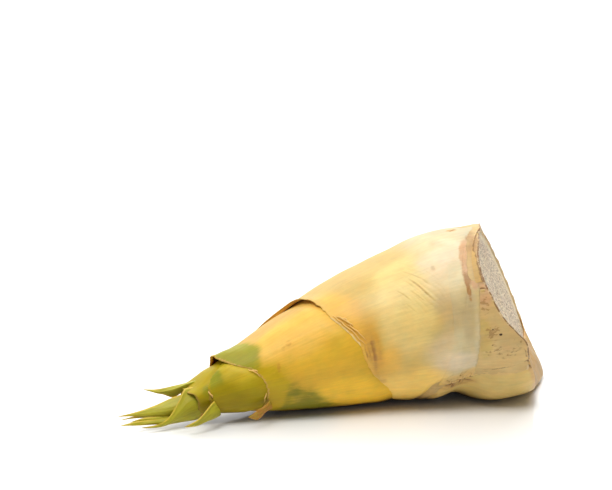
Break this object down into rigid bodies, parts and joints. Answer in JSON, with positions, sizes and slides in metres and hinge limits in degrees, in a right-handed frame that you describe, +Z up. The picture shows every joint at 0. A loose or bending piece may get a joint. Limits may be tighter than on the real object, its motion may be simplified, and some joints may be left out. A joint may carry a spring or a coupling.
{
  "type": "bamboo shoot",
  "caption": "Fresh bamboo shoot lying on its side: solid stalk cut off at the base, wrapped in overlapping sheaths that end in pointed blades at the tip.",
  "frame": {"origin": "middle of the shoot's length and width, on the surface that it lies on", "axes": "+X from the tip to the cut base, along the shoot's length; +Z up; +Y to the shoot's left side as seen from its tip with the base ahead"},
  "size_m": [0.2569, 0.1005, 0.0985],
  "materials": {
    "cut_flesh": "moist off-white shoot flesh, cut clean, with fine pale fibres and a tan skin",
    "heel_flesh": "smooth thick sheath stump, cream to pale yellow-green, waxy",
    "dry_margin": "dry papery sheath margin, pinkish tan, matt",
    "outer_sheath": "waxy sheath, cream at the root to orange-yellow at the edge, finely ribbed",
    "ripe_sheath": "waxy sheath, orange-yellow with soft green patches",
    "green_sheath": "waxy sheath, olive yellow-green with brown edges",
    "bud_leaf": "young leaf, light yellow-green with fine parallel veins and dry brown edges"
  },
  "bodies": {
    "root": {"culm": "cut_flesh", "heel": "heel_flesh", "torn_margin": "dry_margin", "sheath_1": "outer_sheath", "sheath_2": "ripe_sheath", "sheath_3": "green_sheath", "sheath_4": "green_sheath", "sheath_5": "bud_leaf", "bud_leaf_1": "bud_leaf", "bud_leaf_2": "bud_leaf", "bud_leaf_3": "bud_leaf", "bud_leaf_4": "bud_leaf"}
  },
  "joints": []
}
